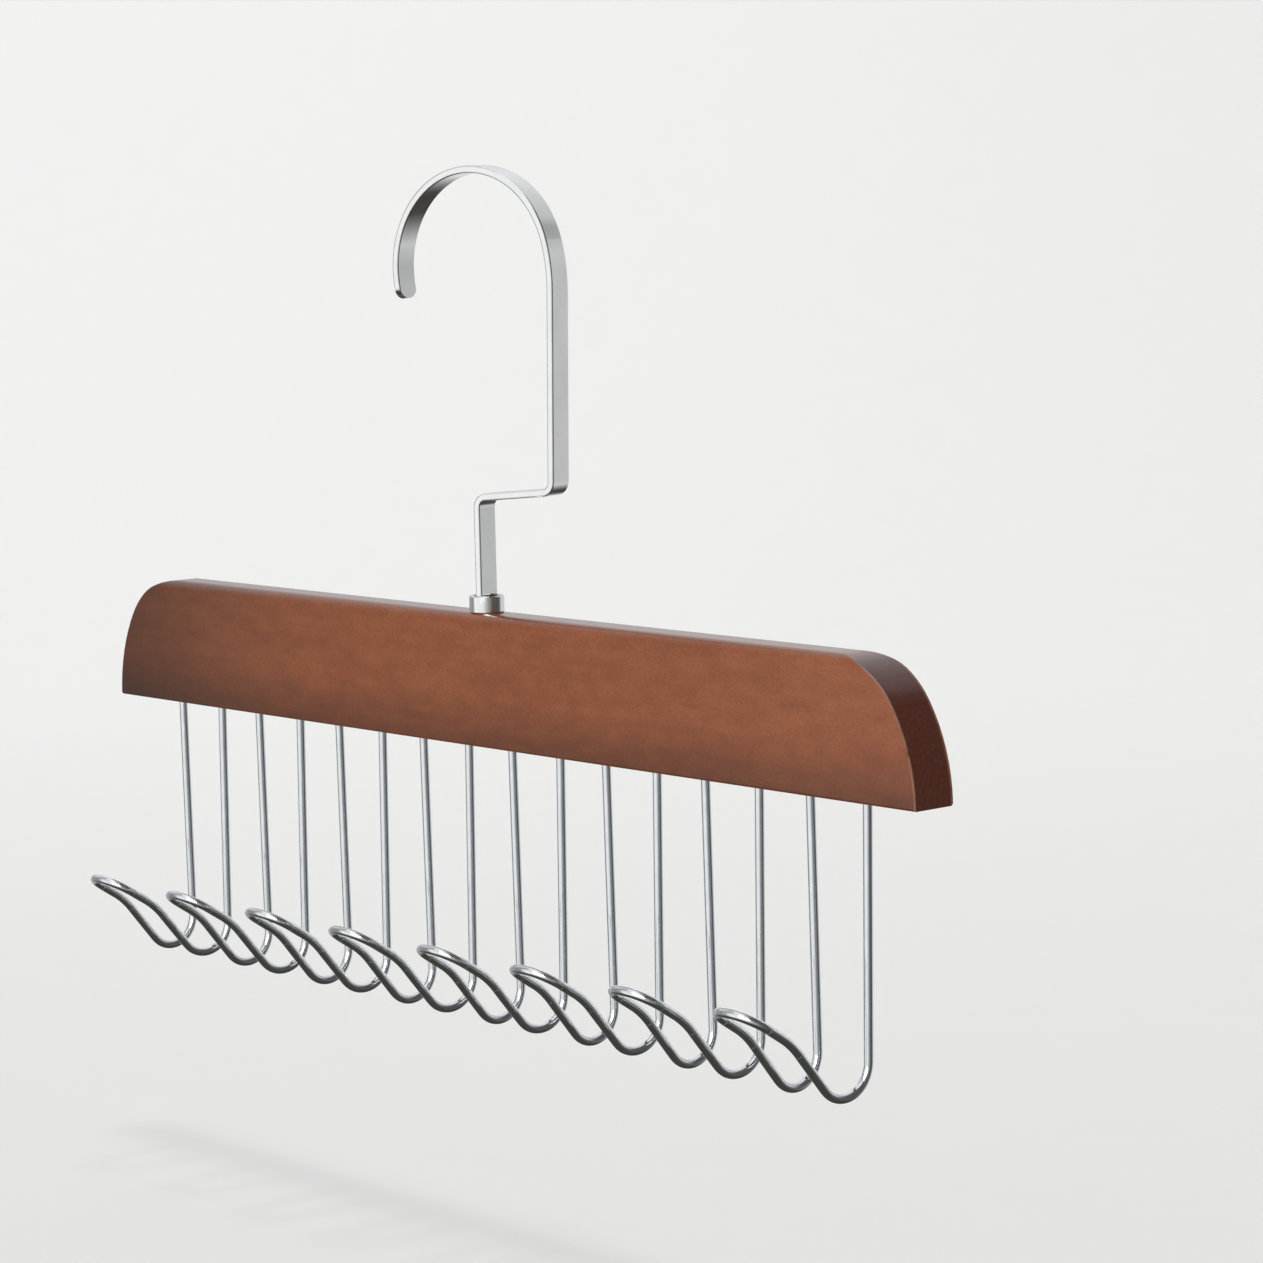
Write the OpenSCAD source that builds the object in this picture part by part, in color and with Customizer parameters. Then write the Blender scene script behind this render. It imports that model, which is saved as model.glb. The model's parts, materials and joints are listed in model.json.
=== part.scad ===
// Tie hanger: a wooden bar on a swivelling flat steel hook, with eight wire loops under the bar.
// Millimetres, +Z up. X runs along the bar and the loops reach out towards -Y.
// The origin is the centre of the hook's arch, on the axis that the hook swivels about.

/* [Wooden bar] */
// Length of the bar
bar_l = 330; // [300:1:420]
// Height of the bar
bar_h = 35.5; // [30:0.5:45]
// Thickness of the bar
bar_t = 13.3; // [12:0.1:18]
// Radius of the end curve, which stands square on the bottom edge
end_r = 45; // [42:1:55]
// Radius of the shoulder between the end curve and the top edge
shoulder_r = 24; // [14:1:26]
// Rounding of the two long top edges
top_round = 3.5; // [1:0.1:5]
// Rounding of the two long bottom edges
bottom_round = 0.8; // [0.3:0.1:1.5]

/* [Hook strap] */
// Width of the flat strap
strap_w = 7; // [5:0.1:8]
// Thickness of the flat strap
strap_t = 2; // [1.5:0.1:2.5]
// Rounding of the strap's long edges
strap_round = 0.45; // [0.2:0.05:0.7]
// Height of the jog over the bar, to the middle of the strap, on the swivel's axis
neck_h = 30.8; // [22:0.2:45]
// Height of the arch's centre over the bar
hook_rise = 91.5; // [80:0.5:120]
// Radius of the bends at both ends of the jog, to the middle of the strap
jog_r = 3; // [2:0.1:6]
// Slope of the jog, which rises towards the stem
jog_slope = 5; // [0:0.5:15]
// Outward lean of the stem, from the jog up to the arch
stem_lean = 1.4; // [0:0.1:4]
// Radius of the arch's crown, to the middle of the strap
arch_r = 26; // [18:0.5:30]
// Radius of the arch's flatter near side, to the middle of the strap
flank_r = 43; // [32:1:60]
// Angle that the flatter near side turns through, over the level of its own centre
flank_angle = 16; // [5:1:35]
// Angle that the crown goes on past the level of its centre on the far side
tail_angle = 8; // [0:1:25]
// Length of the straight tail, with its round tip
tail_l = 4.5; // [4:0.5:12]
// Angle that the hook is turned to the bar at rest
rest_turn = 11; // [0:1:45]

/* [Swivel] */
// Diameter of the round shank under the strap
shank_d = 5; // [4:0.1:5.5]
// Clearance round the shank in its sleeve
shank_clearance = 0.05; // [0.02:0.01:0.1]
// Wall of the sleeve that is pressed into the bar
sleeve_wall = 1; // [0.8:0.1:1.2]
// Up and down play of the hook
end_play = 0.2; // [0.1:0.05:0.4]
// Height of the taper from the shank to the strap
taper_h = 2.5; // [1:0.1:4]
// Clearance between the strap's corners and the collar
collar_clearance = 0.16; // [0.1:0.02:0.3]
// Wall of the collar
collar_wall = 0.9; // [0.7:0.1:1.2]
// Height of the collar
collar_h = 4.6; // [3:0.1:7]
// Rounding of the collar's rims
collar_round = 0.3; // [0.1:0.05:0.35]
// Thickness of the washer
washer_t = 1; // [0.8:0.1:1.5]
// Diameter of the washer
washer_d = 9; // [8:0.1:9.5]
// Clearance round the washer in the bar's recess
washer_clearance = 0.2; // [0.1:0.05:0.3]
// Diameter of the riveted head
rivet_d = 7.8; // [7:0.1:8]
// Height of the riveted head's dome
rivet_h = 1.6; // [1:0.1:2]
// Height of the riveted head's straight rim
rivet_rim = 0.5; // [0.3:0.1:1]
// Depth of the rivet's dome inside the bar's underside
rivet_inset = 0.5; // [0.2:0.1:1.5]

/* [Wire loops] */
// Diameter of the wire
wire_d = 2.4; // [1.8:0.1:3]
// Distance between the two legs of a loop at the bar
leg_gap = 19.8; // [16:0.1:24]
// Distance from the bar's end to the nearest leg
end_margin = 22.1; // [18:0.1:30]
// Clearance round a leg in its hole
leg_clearance = 0.05; // [0.02:0.01:0.1]
// Depth of the legs' holes
leg_hole = 14; // [8:0.5:20]
// Length of the straight leg under the bar
leg_l = 64.5; // [45:0.5:90]
// How much each leg draws in, per millimetre of wire
draw_in = 0.016; // [0.005:0.001:0.03]
// Radius of the bottom bend, to the middle of the wire
seat_r = 8; // [5:0.1:12]
// Slope of the ramp in front of the bottom bend
ramp_angle = 51; // [40:1:60]
// Length of the straight ramp
ramp_l = 13; // [6:0.5:25]
// Slope of the lip
lip_angle = 33; // [20:1:38]
// Radius of the bend between the ramp and the lip
lip_r = 24; // [6:0.5:30]
// Length of the straight lip
lip_l = 4; // [1:0.5:15]
// Roundness of the nose, where 1 is a full half circle
nose_fullness = 0.93; // [0.7:0.01:0.97]
// Radius of the slight bend where a leg leaves the bar
splay_r = 20; // [8:1:40]

/* [Hidden] */
$fn = 96;

loop_count = 8;
half = 0.5;
overlap = 1;

// Metal thins a little where it is bent. A bend reaches this far into the straight lengths beside it.
bend_thinning = 0.02;
bend_lap = 0.2;

bar_top = -hook_rise;
bar_bottom = bar_top - bar_h;

// The end curve and the shoulder touch where the line through their centres meets them.
shoulder_z = bar_h - shoulder_r;
end_split = asin(shoulder_z / (end_r - shoulder_r));
shoulder_inset = end_r - (end_r - shoulder_r) * cos(end_split);

// The loops share out the bar between the two end margins.
loop_pitch = (bar_l - 2 * end_margin - leg_gap) / (loop_count - 1);

sleeve_bore_r = shank_d / 2 + shank_clearance;
sleeve_r = sleeve_bore_r + sleeve_wall;
recess_r = washer_d / 2 + washer_clearance;
rivet_top = bar_bottom + rivet_inset + rivet_h + rivet_rim;
washer_bottom = rivet_top + end_play;
recess_top = washer_bottom + washer_t;
shoulder_bottom = bar_top + end_play;
collar_bore_r = norm([strap_w, strap_t]) / 2 + collar_clearance;
collar_r = collar_bore_r + collar_wall;

// The hook in its own plane, where X is the reach from the swivel's axis and Y is the height.
// The stem starts where the jog's line meets its own, and ends where the near side's arc begins.
flank_centre = -(flank_r - arch_r) * [cos(flank_angle), sin(flank_angle)];
stem_top = flank_centre + flank_r * [cos(stem_lean), -sin(stem_lean)];
jog_z = bar_top + neck_h;
stem_reach = (stem_top[0] - (stem_top[1] - jog_z) * tan(stem_lean))
    / (1 - tan(jog_slope) * tan(stem_lean));
stem_foot = [stem_reach, jog_z + stem_reach * tan(jog_slope)];

steel = [0.80, 0.80, 0.79];
plated_wire = [0.76, 0.77, 0.76];
varnished_wood = [0.45, 0.22, 0.14];
bare_steel = [0.62, 0.61, 0.58];

// A quarter or other sector of a disc, from the +X side round to an angle, standing on Z = 0.
module sector(r, angle, h) {
    rotate_extrude(angle = angle) square([r, h]);
}

// The bar's side view as a slab: a block with a sector of each of the two end radii at both ends.
module bar_outline() {
    flat_l = bar_l - 2 * shoulder_inset;
    translate([-flat_l / 2, -bar_t / 2, 0]) cube([flat_l, bar_t, bar_h]);
    for (side = [0, 1]) mirror([side, 0, 0]) {
        translate([bar_l / 2 - end_r, bar_t / 2, 0])
            rotate([90, 0, 0]) sector(end_r, end_split, bar_t);
        translate([bar_l / 2 - shoulder_inset, bar_t / 2, shoulder_z])
            rotate([90, 0, 0]) rotate([0, 0, end_split]) sector(shoulder_r, 90 - end_split, bar_t);
    }
}

// The bar's cross-section: width on X, height on Y, with four rounded corners.
module bar_section() {
    r_top = top_round;
    r_low = bottom_round;
    translate([-bar_t / 2, r_low]) square([bar_t, bar_h - r_low - r_top]);
    translate([-bar_t / 2 + r_top, bar_h - r_top]) square([bar_t - 2 * r_top, r_top]);
    translate([-bar_t / 2 + r_low, 0]) square([bar_t - 2 * r_low, r_low]);
    for (side = [0, 1]) mirror([side, 0]) {
        translate([bar_t / 2 - r_top, bar_h - r_top]) intersection() {
            circle(r = r_top);
            square(r_top);
        }
        translate([bar_t / 2 - r_low, 0]) intersection() {
            translate([0, r_low]) circle(r = r_low);
            square(r_low);
        }
    }
}

module wooden_bar() color(varnished_wood) {
    translate([0, 0, bar_bottom]) difference() {
        intersection() {
            bar_outline();
            rotate([90, 0, 90])
                translate([0, 0, -bar_l / 2 - overlap]) linear_extrude(bar_l + 2 * overlap) bar_section();
        }
        translate([0, 0, -overlap]) cylinder(r = sleeve_r, h = bar_h + 2 * overlap);
        translate([0, 0, -overlap]) cylinder(r = recess_r, h = recess_top - bar_bottom + overlap);
        for (i = [1 : loop_count], side = [-1, 1])
            translate([loop_x(i) + side * leg_gap / 2, 0, -overlap])
                cylinder(d = wire_d + 2 * leg_clearance, h = leg_hole + overlap);
    }
}

// The strap's cross-section: thickness on X, width on Y, with its long edges rounded.
module strap_section(thinning = 0) {
    steps = 3;
    r = strap_round - thinning;
    corners = [[1, 1], [-1, 1], [-1, -1], [1, -1]];
    polygon([for (c = [0 : 3], s = [0 : steps])
        let (a = 90 * c + 90 * s / steps)
        [corners[c][0] * (strap_t / 2 - strap_round) + r * cos(a),
         corners[c][1] * (strap_w / 2 - strap_round) + r * sin(a)]]);
}

// A straight length of strap that rises along Z from the origin, and its children at its end.
module strap_run(l) {
    linear_extrude(l) strap_section();
    translate([0, 0, l]) children();
}

// A bend of the strap towards +X, or towards -X when side is -1, and its children at its end.
// A lapped bend is thinned, and reaches into the pieces before and after it.
module strap_bend(r, angle, side, lapped = true) {
    lap = lapped ? bend_lap / r * 180 / PI : 0;
    translate([side * r, 0, 0]) {
        rotate([90, 0, 0]) rotate([0, 0, (side > 0 ? 180 - angle : 0) - lap])
            rotate_extrude(angle = angle + 2 * lap)
                translate([r, 0]) strap_section(lapped ? bend_thinning : 0);
        rotate([0, side * angle, 0]) translate([-side * r, 0, 0]) children();
    }
}

// The tail's end: a short straight with a round tip, which starts inside the bend before it.
module strap_tip(l) {
    tip_r = strap_w / 2;
    intersection() {
        translate([0, 0, -bend_lap]) linear_extrude(l + bend_lap) strap_section(bend_thinning);
        rotate([0, 90, 0]) translate([0, 0, -strap_t]) union() {
            translate([-l + tip_r, 0, 0]) cylinder(r = tip_r, h = 2 * strap_t);
            translate([-l + tip_r, -strap_w, 0]) cube([2 * l, 2 * strap_w, 2 * strap_t]);
        }
    }
}

// The hook in its own plane, from the neck up over the arch and down to the tail.
module hook_strap() {
    neck_turn = 90 - jog_slope;
    stem_turn = neck_turn - stem_lean;
    neck_cut = jog_r * tan(neck_turn / 2);
    stem_cut = jog_r * tan(stem_turn / 2);
    neck_l = jog_z - shoulder_bottom - neck_cut;
    jog_l = norm(stem_foot - [0, jog_z]) - neck_cut - stem_cut;
    stem_l = norm(stem_top - stem_foot) - stem_cut;
    crown_angle = 180 - flank_angle + tail_angle;
    translate([0, 0, shoulder_bottom])
        strap_run(neck_l) strap_bend(jog_r, neck_turn, 1)
        strap_run(jog_l) strap_bend(jog_r, stem_turn, -1)
        strap_run(stem_l) strap_bend(flank_r, flank_angle + stem_lean, -1)
        strap_bend(arch_r, crown_angle, -1, lapped = false) strap_tip(tail_l);
}

// The round shank under the strap, with its taper inside the strap and its riveted head.
module shank() {
    steps = 5;
    taper_top = shoulder_bottom + taper_h;
    dome = [for (s = [0 : steps]) let (a = 90 * s / steps)
        [rivet_d / 2 * cos(a), rivet_top - rivet_rim - rivet_h * sin(a)]];
    rotate_extrude() polygon(concat(
        [[0, taper_top], [strap_t / 3, taper_top], [shank_d / 2, shoulder_bottom],
         [shank_d / 2, rivet_top], [rivet_d / 2, rivet_top]],
        dome
    ));
}

module flat_hook() color(steel) {
    rotate([0, 0, rest_turn]) hook_strap();
    shank();
}

module hook_collar() color(steel) {
    r = collar_round;
    translate([0, 0, bar_top]) rotate_extrude() polygon([
        [collar_bore_r, 0], [collar_r - r, 0], [collar_r, r], [collar_r, collar_h - r],
        [collar_r - r, collar_h], [collar_bore_r + r, collar_h], [collar_bore_r, collar_h - r]
    ]);
}

module swivel_sleeve() color(bare_steel) {
    translate([0, 0, recess_top]) difference() {
        cylinder(r = sleeve_r, h = bar_top - recess_top);
        translate([0, 0, -overlap]) cylinder(r = sleeve_bore_r, h = bar_h + 2 * overlap);
    }
}

module rivet_washer() color(bare_steel) {
    translate([0, 0, washer_bottom]) difference() {
        cylinder(d = washer_d, h = washer_t);
        translate([0, 0, -overlap])
            cylinder(r = sleeve_bore_r, h = washer_t + 2 * overlap);
    }
}

function loop_x(i) = (i - (loop_count + 1) / 2) * loop_pitch;
function unit(v) = v / norm(v);
function turn_angle(a, b) = acos(max(-1, min(1, a * b)));

// A round wire through points, with a bend of its own radius at each inner point.
module wire(points, radii) {
    last = len(points) - 1;
    dirs = [for (i = [0 : last - 1]) unit(points[i + 1] - points[i])];
    cut = [for (i = [0 : last])
        (i == 0 || i == last) ? 0 : radii[i] * tan(turn_angle(dirs[i - 1], dirs[i]) / 2)];
    for (i = [0 : last - 1]) {
        start = points[i] + dirs[i] * cut[i];
        run = norm(points[i + 1] - points[i]) - cut[i] - cut[i + 1];
        wire_frame(start, dirs[i], side_of(dirs[i])) cylinder(d = wire_d, h = run);
    }
    for (i = [1 : last - 1]) {
        angle = turn_angle(dirs[i - 1], dirs[i]);
        inward = unit(dirs[i] - dirs[i - 1] * cos(angle));
        centre = points[i] - dirs[i - 1] * cut[i] + inward * radii[i];
        lap = bend_lap / radii[i] * 180 / PI;
        wire_frame(centre, cross(-inward, dirs[i - 1]), -inward) rotate([0, 0, -lap])
            rotate_extrude(angle = angle + 2 * lap)
                translate([radii[i], 0]) circle(d = wire_d - 2 * bend_thinning);
    }
}

// Any direction square to a wire's own.
function side_of(d) = unit(cross(d, abs(d[0]) > half ? [0, 1, 0] : [1, 0, 0]));

// A frame at a point, with its Z along one direction and its X along another.
module wire_frame(at, z, x) {
    y = cross(z, x);
    multmatrix([
        [x[0], y[0], z[0], at[0]],
        [x[1], y[1], z[1], at[1]],
        [x[2], y[2], z[2], at[2]],
        [0, 0, 0, 1]
    ]) children();
}

// One leg of a loop, from its end in the bar to the corner that its nose rounds off.
function leg_points() =
    let (
        seat_cut = seat_r * tan((90 + ramp_angle) / 2),
        lip_cut = lip_r * tan((ramp_angle - lip_angle) / 2),
        foot_l = leg_l + seat_cut,
        ramp_run = seat_cut + ramp_l + lip_cut,
        foot_x = leg_gap / 2 - draw_in * foot_l,
        lip_x = foot_x - draw_in * ramp_run,
        foot = [foot_x, 0, -foot_l],
        lip = [lip_x, -ramp_run * cos(ramp_angle), -foot_l + ramp_run * sin(ramp_angle)],
        nose_run = lip_cut + lip_l + lip_x,
        nose = lip + nose_run * [-draw_in, -cos(lip_angle), sin(lip_angle)]
    )
    [[leg_gap / 2, 0, leg_hole], [leg_gap / 2, 0, 0], foot, lip, nose];

module wire_loop(i) color(plated_wire) {
    right = leg_points();
    n = len(right) - 1;
    left = [for (k = [n : -1 : 0]) [-right[k][0], right[k][1], right[k][2]]];
    nose_r = right[n][0] * nose_fullness;
    leg_radii = [0, splay_r, seat_r, lip_r, nose_r];
    radii = concat(leg_radii, [for (k = [n : -1 : 0]) leg_radii[k]]);
    translate([loop_x(i), 0, bar_bottom]) wire(concat(right, left), radii);
}

wooden_bar();
flat_hook();
hook_collar();
swivel_sleeve();
rivet_washer();
wire_loop(1);  // wire_loop_1
wire_loop(2);  // wire_loop_2
wire_loop(3);  // wire_loop_3
wire_loop(4);  // wire_loop_4
wire_loop(5);  // wire_loop_5
wire_loop(6);  // wire_loop_6
wire_loop(7);  // wire_loop_7
wire_loop(8);  // wire_loop_8
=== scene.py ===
"""The tie hanger's looks: wood, chrome and wire finishes, studio light and the photograph's camera.

Everything is in metres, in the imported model's own frame: +X along the bar, +Z up,
the wire loops reach out towards -Y, and the origin is the centre of the hook's arch.
"""

import json
import math

import bpy
from mathutils import Matrix, Vector


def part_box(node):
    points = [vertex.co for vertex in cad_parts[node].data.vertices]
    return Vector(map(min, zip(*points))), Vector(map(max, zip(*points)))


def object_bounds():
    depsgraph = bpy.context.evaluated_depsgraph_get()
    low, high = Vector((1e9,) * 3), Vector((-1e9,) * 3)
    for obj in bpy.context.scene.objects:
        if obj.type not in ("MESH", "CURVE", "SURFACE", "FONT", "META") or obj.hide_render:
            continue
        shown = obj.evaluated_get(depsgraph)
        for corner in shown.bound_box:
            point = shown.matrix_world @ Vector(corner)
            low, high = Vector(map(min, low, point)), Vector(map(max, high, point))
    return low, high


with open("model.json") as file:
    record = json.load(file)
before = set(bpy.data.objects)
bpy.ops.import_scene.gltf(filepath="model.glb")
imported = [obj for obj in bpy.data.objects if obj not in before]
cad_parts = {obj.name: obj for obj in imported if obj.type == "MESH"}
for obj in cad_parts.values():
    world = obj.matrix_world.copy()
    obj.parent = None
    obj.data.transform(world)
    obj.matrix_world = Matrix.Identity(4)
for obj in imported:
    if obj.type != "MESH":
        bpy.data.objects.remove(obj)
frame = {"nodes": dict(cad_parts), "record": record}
cad_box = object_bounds()

# The photograph's frame, and the camera worked out from the bar's corners, the legs and the hook.
PHOTO_SIZE = 1263
SENSOR_WIDTH = 36.0
FOCAL_PIXELS = 3912.0
CAMERA_AT = (0.8050, -0.6568, 0.0245)
CAMERA_TURN = math.radians(48.67)
CAMERA_TILT = math.radians(6.71)
CAMERA_ROLL = math.radians(-1.29)

# Level directions of that camera: to its right, and from the hanger back to it.
RIGHTWARD = Vector((math.cos(CAMERA_TURN), math.sin(CAMERA_TURN), 0.0))
BACKWARD = Vector((math.sin(CAMERA_TURN), -math.cos(CAMERA_TURN), 0.0))

# The floor lies below the hanger and sweeps up into a wall, further off than any view's camera.
FLOOR_DROP = 0.06
WALL_BEHIND = 2.4
STAGE_REACH = 8.0
CURVE_RADIUS = 1.3
CURVE_STEPS = 24
# The stage's paint, and what its faint speckle multiplies it by at the darkest.
PALE = (0.93, 0.935, 0.925)
SPECKLE = 0.985
# The share of its own colour that the stage shows whatever light falls on it, and how bright that is.
STAGE_GLOW_SHARE = 0.6
STAGE_GLOW = 0.985

# The surroundings that the metal reflects: (degrees to the camera's right of the camera, brightness).
ROOM = [(-180, 0.75), (-128, 0.36), (-99, 0.28), (-84, 1.0), (-28, 0.95), (6, 0.40), (34, 0.14),
        (70, 0.08), (92, 0.12), (105, 0.63), (150, 0.70), (180, 0.75)]
ROOM_BLUE = 1.02
# The same for what is higher up, which only reflections show; other light from there is dim.
HIGH_ROOM = [(-180, 0.90), (-132, 0.75), (-112, 0.45), (-90, 0.40), (-70, 0.80), (-10, 0.75),
             (12, 0.10), (107, 0.10), (118, 0.58), (180, 0.90)]
HIGH_ROOM_BLUE = 1.03
OVERHEAD = (0.28, 0.28, 0.28)
UNDERNEATH = (0.060, 0.057, 0.050)
# Upward parts of a direction between which the room gives way to what is above it, and to what is below.
HIGH_FROM = 0.24
HIGH_TO = 0.50
LOW_FROM = -0.34
LOW_TO = -0.62
# How much of the room's light falls on matt surfaces; the lamps give the rest.
ROOM_LIGHT = 0.60

# The point that lamps' places are measured from, and that all but the wall's lamp aim at.
HANGER_MIDDLE = (0.0, 0.0, -0.1)

# The bar's wood. Noise scales are per metre, along the bar, through it and up it.
BAR_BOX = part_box("wooden_bar")
BAR_LEFT_END = BAR_BOX[0][0]
BAR_UNDERSIDE = BAR_BOX[0][2]
BAR_HALF_THICKNESS = BAR_BOX[1][1]
PORES = (900.0, 1500.0, 1500.0)
MOTTLE = (130.0, 260.0, 260.0)
STREAKS = (22.0, 420.0, 420.0)
CLOUDS = (14.0, 34.0, 34.0)
END_PORES = (1800.0, 1100.0, 1100.0)
# What each noise adds to the face's tone, and the colours for a low, middle and high tone.
PORE_SHARE = 0.34
MOTTLE_SHARE = 0.31
STREAK_SHARE = 0.13
CLOUD_SHARE = 0.22
FACE_TONES = [(0.41, (0.220, 0.060, 0.020)), (0.50, (0.256, 0.073, 0.024)),
              (0.59, (0.296, 0.090, 0.031))]
END_TONES = [(0.35, (0.080, 0.019, 0.009)), (0.65, (0.114, 0.028, 0.012))]
# Painted shade: the face's colour darkens towards the underside and the left end, standing in for light
# falling off there: the share of colour left, and the reach.
UNDERSIDE_PAINTED_SHADE = 0.49
UNDERSIDE_REACH = 0.014
LEFT_END_PAINTED_SHADE = 0.41
LEFT_REACH = 0.095
# End grain takes over as the normal's lengthwise part passes from the first of these to the second.
END_NORMAL_FROM = 0.10
END_NORMAL_TO = 0.35
# The lighter line round the end cuts, partly edge wear and partly a painted highlight of a small edge
# bevel: where it begins and is full, in from the bar's faces, and its looks.
WEAR_AND_HIGHLIGHT_INNER = 0.0009
WEAR_AND_HIGHLIGHT_OUTER = 0.0004
WEAR_AND_HIGHLIGHT_COLOUR = (0.52, 0.27, 0.17)
WEAR_AND_HIGHLIGHT_FRONT = 0.85
WEAR_AND_HIGHLIGHT_BACK = 0.40
# The mottling between which the line goes from missing to whole, and how soon its front part ends.
WEAR_AND_HIGHLIGHT_NONE = 0.20
WEAR_AND_HIGHLIGHT_WHOLE = 0.50
WEAR_AND_HIGHLIGHT_TURN = -0.001
# Satin varnish: the wood's own roughness at both ends of its mottling.
WOOD_SMOOTH = 0.36
WOOD_ROUGH = 0.46

# Metal finishes: slot, then material name, colour, roughness, and scales of its lines and its ripples.
METALS = {
    "chrome_steel": ("chrome_strap", (0.87, 0.88, 0.86), 0.06, (900.0, 900.0, 60.0), 45.0),
    "plated_wire": ("plated_wire", (0.79, 0.82, 0.83), 0.09, (1500.0, 1500.0, 120.0), 90.0),
    "bare_steel": ("turned_steel", (0.56, 0.55, 0.52), 0.28, (400.0, 400.0, 3000.0), 60.0),
}
# Haze on the plate: its scale per metre, what it multiplies the colour by and adds to the roughness.
HAZE = (220.0, 220.0, 220.0)
DULLER = 0.95
ROUGHER = 0.07

# Sockets of Blender's Mix node when it mixes colours.
MIX_FACTOR = 0
MIX_A = 6
MIX_B = 7
MIX_RESULT = 2


def new_material(name):
    """A node material with only its output and one Principled shader."""
    material = bpy.data.materials.new(name)
    material.use_nodes = True
    nodes = material.node_tree.nodes
    nodes.clear()
    output = nodes.new("ShaderNodeOutputMaterial")
    shader = nodes.new("ShaderNodeBsdfPrincipled")
    material.node_tree.links.new(shader.outputs["BSDF"], output.inputs["Surface"])
    return material, shader


class Nodes:
    """Short calls for building the node tree of a material or of the world."""

    def __init__(self, owner):
        self.tree = owner.node_tree
        self.coords = self.tree.nodes.new("ShaderNodeTexCoord")

    def link(self, source, target):
        self.tree.links.new(source, target)

    def mapped(self, scale):
        """The object's own coordinates, in metres, times a scale on each axis."""
        node = self.tree.nodes.new("ShaderNodeMapping")
        node.inputs["Scale"].default_value = scale
        self.link(self.coords.outputs["Object"], node.inputs["Vector"])
        return node.outputs["Vector"]

    def noise(self, scale, detail=3.0, roughness=0.5, distortion=0.0):
        """Noise stretched by a scale on each axis, from 0 to 1."""
        node = self.tree.nodes.new("ShaderNodeTexNoise")
        node.inputs["Scale"].default_value = 1.0
        node.inputs["Detail"].default_value = detail
        node.inputs["Roughness"].default_value = roughness
        node.inputs["Distortion"].default_value = distortion
        self.link(self.mapped(scale), node.inputs["Vector"])
        return node.outputs["Fac"]

    def ramp(self, value, stops):
        """A colour ramp: stops are (position, colour)."""
        node = self.tree.nodes.new("ShaderNodeValToRGB")
        ramp = node.color_ramp
        while len(ramp.elements) < len(stops):
            ramp.elements.new(0.5)
        for element, (position, colour) in zip(ramp.elements, stops):
            element.position = position
            element.color = (*colour, 1.0)
        self.link(value, node.inputs["Fac"])
        return node.outputs["Color"]

    def span(self, value, low, high, to_low=0.0, to_high=1.0):
        """Maps low..high to to_low..to_high, clamped."""
        node = self.tree.nodes.new("ShaderNodeMapRange")
        node.inputs["From Min"].default_value = low
        node.inputs["From Max"].default_value = high
        node.inputs["To Min"].default_value = to_low
        node.inputs["To Max"].default_value = to_high
        self.link(value, node.inputs["Value"])
        return node.outputs["Result"]

    def maths(self, operation, a, b=None):
        """One Math node; a and b are sockets or numbers."""
        node = self.tree.nodes.new("ShaderNodeMath")
        node.operation = operation
        for index, value in enumerate((a, b)):
            if value is None:
                continue
            if isinstance(value, (int, float)):
                node.inputs[index].default_value = value
            else:
                self.link(value, node.inputs[index])
        return node.outputs["Value"]

    def mix(self, factor, a, b):
        """Mixes two colours by a socket; a and b are sockets or colours."""
        node = self.tree.nodes.new("ShaderNodeMix")
        node.data_type = "RGBA"
        self.link(factor, node.inputs[MIX_FACTOR])
        for index, value in ((MIX_A, a), (MIX_B, b)):
            if isinstance(value, tuple):
                node.inputs[index].default_value = (*value, 1.0)
            else:
                self.link(value, node.inputs[index])
        return node.outputs[MIX_RESULT]

    def mix_shader(self, factor, a, b):
        """Mixes two shaders by a socket."""
        node = self.tree.nodes.new("ShaderNodeMixShader")
        self.link(factor, node.inputs["Fac"])
        self.link(a, node.inputs[1])
        self.link(b, node.inputs[2])
        return node.outputs["Shader"]

    def scaled(self, value, factor):
        """A socket's value times a number or another socket's value."""
        return self.maths("MULTIPLY", value, factor)

    def split(self, source):
        """The X, Y and Z of one of the object's coordinate outputs."""
        node = self.tree.nodes.new("ShaderNodeSeparateXYZ")
        self.link(self.coords.outputs[source], node.inputs["Vector"])
        return node.outputs

    def along(self, source, direction):
        """How far one of the coordinate outputs reaches along a direction."""
        node = self.tree.nodes.new("ShaderNodeVectorMath")
        node.operation = "DOT_PRODUCT"
        node.inputs[1].default_value = direction
        self.link(self.coords.outputs[source], node.inputs[0])
        return node.outputs["Value"]

    def bump(self, height, strength, distance, normal=None):
        """Turns a height into a bumped normal, on top of another if one is given."""
        node = self.tree.nodes.new("ShaderNodeBump")
        node.inputs["Strength"].default_value = strength
        node.inputs["Distance"].default_value = distance
        self.link(height, node.inputs["Height"])
        if normal is not None:
            self.link(normal, node.inputs["Normal"])
        return node.outputs["Normal"]


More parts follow.
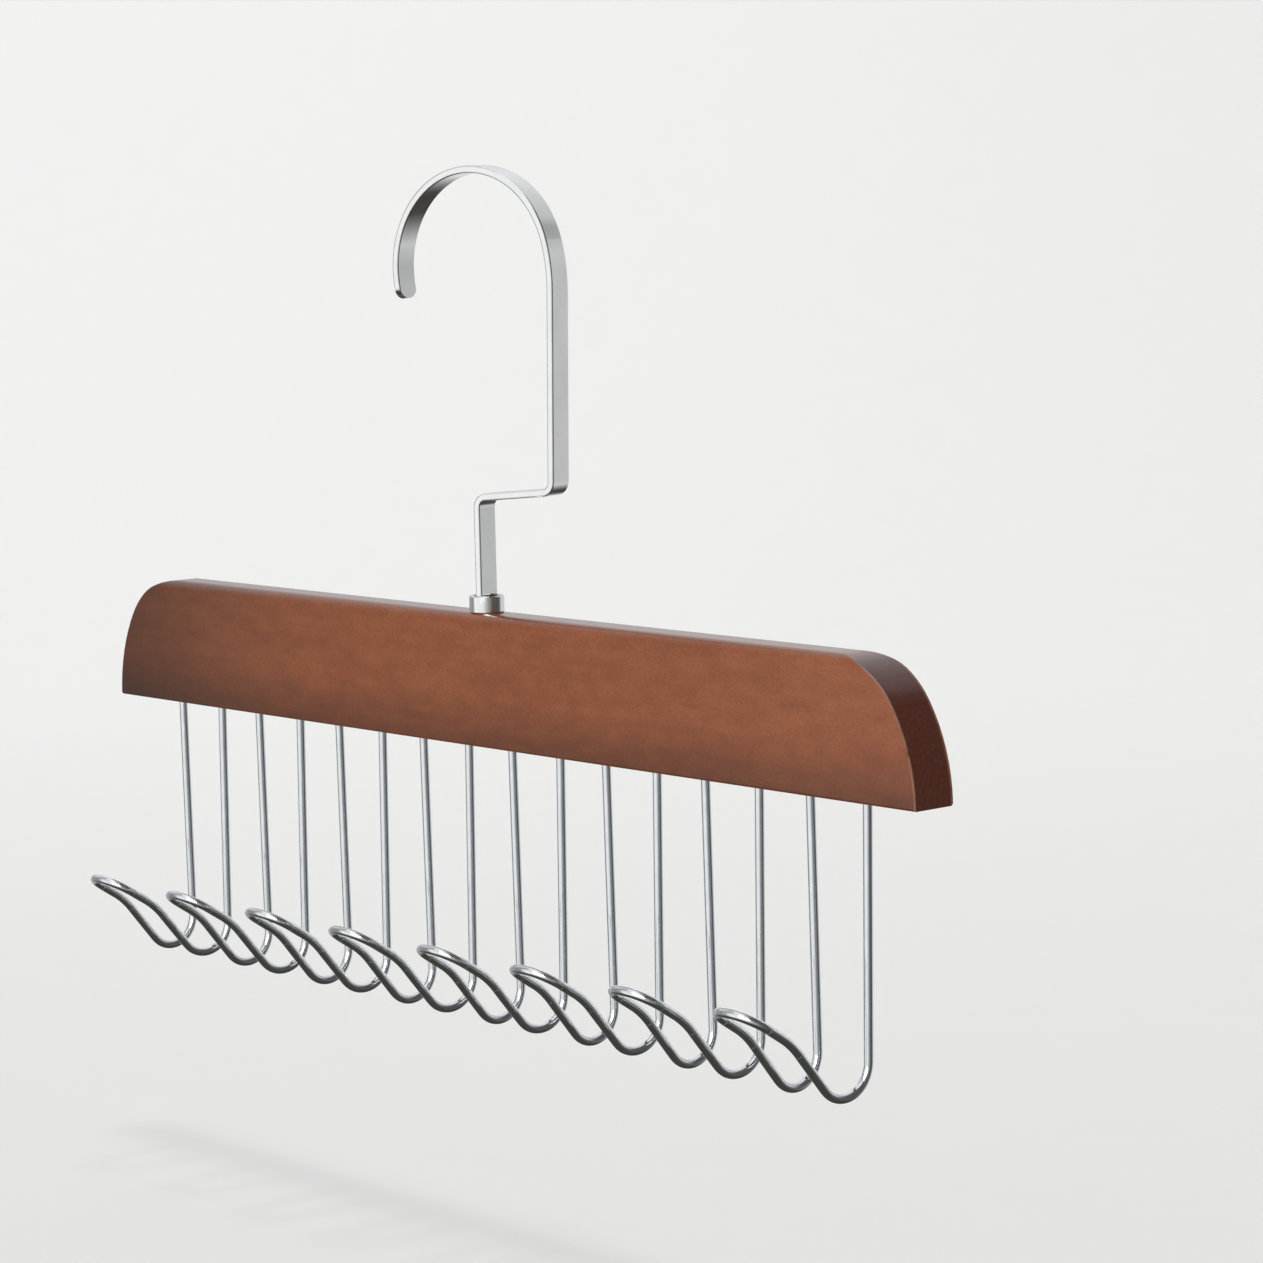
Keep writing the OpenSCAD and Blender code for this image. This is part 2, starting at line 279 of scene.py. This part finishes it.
def varnished_wood():
    """Stained close-grained wood under a satin varnish, darker where the end grain is cut."""
    material, shader = new_material("varnished_wood")
    n = Nodes(material)
    pores = n.noise(PORES, detail=3.0, roughness=0.6)
    mottle = n.noise(MOTTLE, detail=4.0, roughness=0.55)
    streaks = n.noise(STREAKS, detail=4.0, roughness=0.5, distortion=0.3)
    clouds = n.noise(CLOUDS, detail=2.0)
    tone = n.maths("ADD", n.scaled(pores, PORE_SHARE), n.scaled(mottle, MOTTLE_SHARE))
    tone = n.maths("ADD", tone, n.scaled(streaks, STREAK_SHARE))
    tone = n.maths("ADD", tone, n.scaled(clouds, CLOUD_SHARE))
    place = n.split("Object")
    # Painted shade: the face's colour darkens towards the underside and towards the left end.
    underside_shade = n.span(place["Z"], BAR_UNDERSIDE, BAR_UNDERSIDE + UNDERSIDE_REACH, UNDERSIDE_PAINTED_SHADE, 1.0)
    left_end_shade = n.span(place["X"], BAR_LEFT_END, BAR_LEFT_END + LEFT_REACH, LEFT_END_PAINTED_SHADE, 1.0)
    face = n.mix(n.scaled(underside_shade, left_end_shade), (0.0, 0.0, 0.0), n.ramp(tone, FACE_TONES))

    end = n.ramp(n.noise(END_PORES, detail=3.0, roughness=0.6), END_TONES)
    lengthwise = n.maths("ABSOLUTE", n.split("Normal")["X"])
    end_mask = n.span(lengthwise, END_NORMAL_FROM, END_NORMAL_TO)
    colour = n.mix(end_mask, face, end)

    # A lighter line along the end cuts' edges: partly wear, partly a painted edge highlight, stronger on
    # the front edge.
    across = n.maths("ABSOLUTE", place["Y"])
    rim = n.span(across, BAR_HALF_THICKNESS - WEAR_AND_HIGHLIGHT_INNER, BAR_HALF_THICKNESS - WEAR_AND_HIGHLIGHT_OUTER)
    wear_and_highlight = n.scaled(n.scaled(rim, end_mask), n.span(mottle, WEAR_AND_HIGHLIGHT_NONE, WEAR_AND_HIGHLIGHT_WHOLE))
    wear_and_highlight = n.scaled(wear_and_highlight, n.span(place["Y"], 0.0, WEAR_AND_HIGHLIGHT_TURN, WEAR_AND_HIGHLIGHT_BACK, WEAR_AND_HIGHLIGHT_FRONT))
    colour = n.mix(wear_and_highlight, colour, WEAR_AND_HIGHLIGHT_COLOUR)
    n.link(colour, shader.inputs["Base Color"])
    n.link(n.span(mottle, 0.3, 0.7, WOOD_SMOOTH, WOOD_ROUGH), shader.inputs["Roughness"])
    shader.inputs["Specular IOR Level"].default_value = 0.12
    shader.inputs["Coat Weight"].default_value = 0.80
    shader.inputs["Coat IOR"].default_value = 1.6
    shader.inputs["Coat Roughness"].default_value = 0.15
    height = n.maths("ADD", n.scaled(streaks, 0.4), n.scaled(pores, 0.6))
    n.link(n.bump(height, 0.12, 0.0002), shader.inputs["Normal"])
    return material


def plated_metal(name, colour, roughness, lines, ripple):
    """Bright plate on steel: fine lines along the surface, and slow ripples that bend reflections."""
    material, shader = new_material(name)
    n = Nodes(material)
    fine = n.noise(lines, detail=3.0, roughness=0.6)
    haze = n.noise(HAZE, detail=3.0)
    slow = n.noise((ripple, ripple, ripple), detail=1.0)
    dull = tuple(DULLER * c for c in colour)
    n.link(n.mix(n.span(haze, 0.35, 0.65), dull, colour), shader.inputs["Base Color"])
    n.link(n.span(haze, 0.3, 0.7, roughness, roughness + ROUGHER), shader.inputs["Roughness"])
    shader.inputs["Metallic"].default_value = 1.0
    waves = n.bump(slow, 0.25, 0.0006)
    n.link(n.bump(fine, 0.05, 0.00005, waves), shader.inputs["Normal"])
    return material


def stage_material():
    """Matt pale paint for the floor and wall, which the camera sees evenly lit but for soft shadows."""
    material, shader = new_material("pale_stage")
    n = Nodes(material)
    grain = n.noise((35.0, 35.0, 35.0), detail=5.0)
    pale = n.mix(grain, tuple(SPECKLE * c for c in PALE), PALE)
    n.link(pale, shader.inputs["Base Color"])
    shader.inputs["Roughness"].default_value = 0.9
    shader.inputs["Specular IOR Level"].default_value = 0.0
    glow = n.tree.nodes.new("ShaderNodeEmission")
    n.link(pale, glow.inputs["Color"])
    glow.inputs["Strength"].default_value = STAGE_GLOW
    path = n.tree.nodes.new("ShaderNodeLightPath")
    share = n.scaled(path.outputs["Is Camera Ray"], STAGE_GLOW_SHARE)
    mixed = n.mix_shader(share, shader.outputs["BSDF"], glow.outputs["Emission"])
    output = next(node for node in n.tree.nodes if node.type == "OUTPUT_MATERIAL")
    n.link(mixed, output.inputs["Surface"])
    return material


def dress(node, material):
    """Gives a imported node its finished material."""
    mesh = frame["nodes"][node].data
    if not mesh.materials:
        mesh.materials.append(material)
    for index in range(len(mesh.materials)):
        mesh.materials[index] = material


def dress_all():
    """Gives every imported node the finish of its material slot."""
    finish = {slot: plated_metal(*values) for slot, values in METALS.items()}
    finish["varnished_wood"] = varnished_wood()
    for part in frame["record"]["subparts"]:
        dress(part["node"], finish[part["material_slot"]])


def add_stage():
    """A floor that curves up into a wall, behind and below the hanger as the camera sees it."""
    low = cad_box[0][2] - FLOOR_DROP
    profile = [(-STAGE_REACH, 0.0), (WALL_BEHIND - CURVE_RADIUS, 0.0)]
    for step in range(1, CURVE_STEPS + 1):
        angle = math.pi / 2 * step / CURVE_STEPS
        profile.append((WALL_BEHIND - CURVE_RADIUS + CURVE_RADIUS * math.sin(angle),
                        CURVE_RADIUS * (1 - math.cos(angle))))
    profile.append((WALL_BEHIND, STAGE_REACH))
    points = []
    for along, up in profile:
        for across in (-STAGE_REACH, STAGE_REACH):
            spot = RIGHTWARD * across - BACKWARD * along
            points.append((spot.x, spot.y, low + up))
    faces = [(2 * i, 2 * i + 1, 2 * i + 3, 2 * i + 2) for i in range(len(profile) - 1)]
    mesh = bpy.data.meshes.new("stage_mesh")
    mesh.from_pydata(points, [], faces)
    mesh.polygons.foreach_set("use_smooth", [True] * len(faces))
    stage = bpy.data.objects.new("stage", mesh)
    bpy.context.scene.collection.objects.link(stage)
    mesh.materials.append(stage_material())
    stage.visible_glossy = False
    return stage


def stage_link(name, stage, state):
    """What a lamp lights: the stage alone (INCLUDE), or all but the stage (EXCLUDE)."""
    group = bpy.data.collections.new(name)
    group.objects.link(stage)
    group.collection_objects[0].light_linking.link_state = state
    return group


def add_lamp(name, at, aim, size, power, lit):
    """A softbox at a place, turned towards a point, that lights only what lit says."""
    lamp = bpy.data.lights.new(name, "AREA")
    lamp.shape = "RECTANGLE"
    lamp.size, lamp.size_y = size
    lamp.energy = power
    thing = bpy.data.objects.new(name, lamp)
    thing.location = at
    thing.rotation_euler = (Vector(aim) - Vector(at)).to_track_quat("-Z", "Y").to_euler()
    thing.visible_camera = False
    thing.light_linking.receiver_collection = lit
    bpy.context.scene.collection.objects.link(thing)


def from_camera(right, up, near):
    """A point by its place as the camera sees it: metres right of, above and nearer than the hanger."""
    return Vector(HANGER_MIDDLE) + RIGHTWARD * right + BACKWARD * near + Vector((0.0, 0.0, up))


def add_lights(stage):
    """Two softboxes for the hanger, before it and overhead, and two for the wall and the floor."""
    hanger_only = stage_link("lit_hanger", stage, "EXCLUDE")
    stage_only = stage_link("lit_stage", stage, "INCLUDE")
    add_lamp("key_soft", at=from_camera(right=-0.40, up=0.36, near=1.05), aim=HANGER_MIDDLE,
             size=(0.8, 0.8), power=10.5, lit=hanger_only)
    add_lamp("top_soft", at=from_camera(right=-0.2, up=1.5, near=0.3), aim=HANGER_MIDDLE,
             size=(1.6, 1.2), power=2.0, lit=hanger_only)
    add_lamp("floor_soft", at=(0.1, 0.1, 5.0), aim=HANGER_MIDDLE,
             size=(0.8, 0.8), power=80.0, lit=stage_only)
    add_lamp("wall_wash", at=from_camera(right=-0.5, up=1.6, near=-1.0),
             aim=from_camera(right=-0.3, up=0.6, near=-2.3), size=(1.2, 0.6), power=12.0, lit=stage_only)


def compass(levels, blue):
    """Ramp stops for brightnesses by direction, once round from straight beyond the hanger."""
    return [(degrees / 360 + 0.5, (level, level, blue * level)) for degrees, level in levels]


def set_world():
    """Surroundings that are bright on the camera's left, dim on its right, and dark underneath."""
    world = bpy.data.worlds.new("surroundings")
    bpy.context.scene.world = world
    world.use_nodes = True
    world.node_tree.nodes.clear()
    n = Nodes(world)
    path = n.tree.nodes.new("ShaderNodeLightPath")
    glossy = path.outputs["Is Glossy Ray"]
    turn = n.maths("ARCTAN2", n.along("Generated", RIGHTWARD), n.along("Generated", BACKWARD))
    turn = n.span(turn, -math.pi, math.pi)
    height = n.split("Generated")["Z"]
    above = n.mix(glossy, OVERHEAD, n.ramp(turn, compass(HIGH_ROOM, HIGH_ROOM_BLUE)))
    room = n.mix(n.span(height, HIGH_FROM, HIGH_TO), n.ramp(turn, compass(ROOM, ROOM_BLUE)), above)
    room = n.mix(n.span(height, LOW_FROM, LOW_TO), room, UNDERNEATH)
    around = n.tree.nodes.new("ShaderNodeBackground")
    n.link(room, around.inputs["Color"])
    n.link(n.span(glossy, 0.0, 1.0, ROOM_LIGHT, 1.0), around.inputs["Strength"])
    seen = n.tree.nodes.new("ShaderNodeBackground")
    seen.inputs["Color"].default_value = (*PALE, 1.0)
    mixed = n.mix_shader(path.outputs["Is Camera Ray"], around.outputs["Background"],
                         seen.outputs["Background"])
    output = n.tree.nodes.new("ShaderNodeOutputWorld")
    n.link(mixed, output.inputs["Surface"])


def add_camera():
    """The photograph's camera: level turn, downward tilt, then roll about its own axis."""
    tilt, roll = CAMERA_TILT, CAMERA_ROLL
    back = BACKWARD * math.cos(tilt) + Vector((0.0, 0.0, math.sin(tilt)))
    upright = back.cross(RIGHTWARD)
    right = RIGHTWARD * math.cos(roll) + upright * math.sin(roll)
    up = upright * math.cos(roll) - RIGHTWARD * math.sin(roll)
    lens = bpy.data.cameras.new("camera")
    lens.sensor_width = SENSOR_WIDTH
    lens.lens = FOCAL_PIXELS / PHOTO_SIZE * SENSOR_WIDTH
    camera = bpy.data.objects.new("camera", lens)
    camera.matrix_world = Matrix((
        (right.x, up.x, back.x, CAMERA_AT[0]),
        (right.y, up.y, back.y, CAMERA_AT[1]),
        (right.z, up.z, back.z, CAMERA_AT[2]),
        (0.0, 0.0, 0.0, 1.0),
    ))
    bpy.context.scene.collection.objects.link(camera)
    bpy.context.scene.camera = camera


add_camera()
add_lights(add_stage())
set_world()
dress_all()
bpy.context.scene.view_settings.view_transform = "Standard"
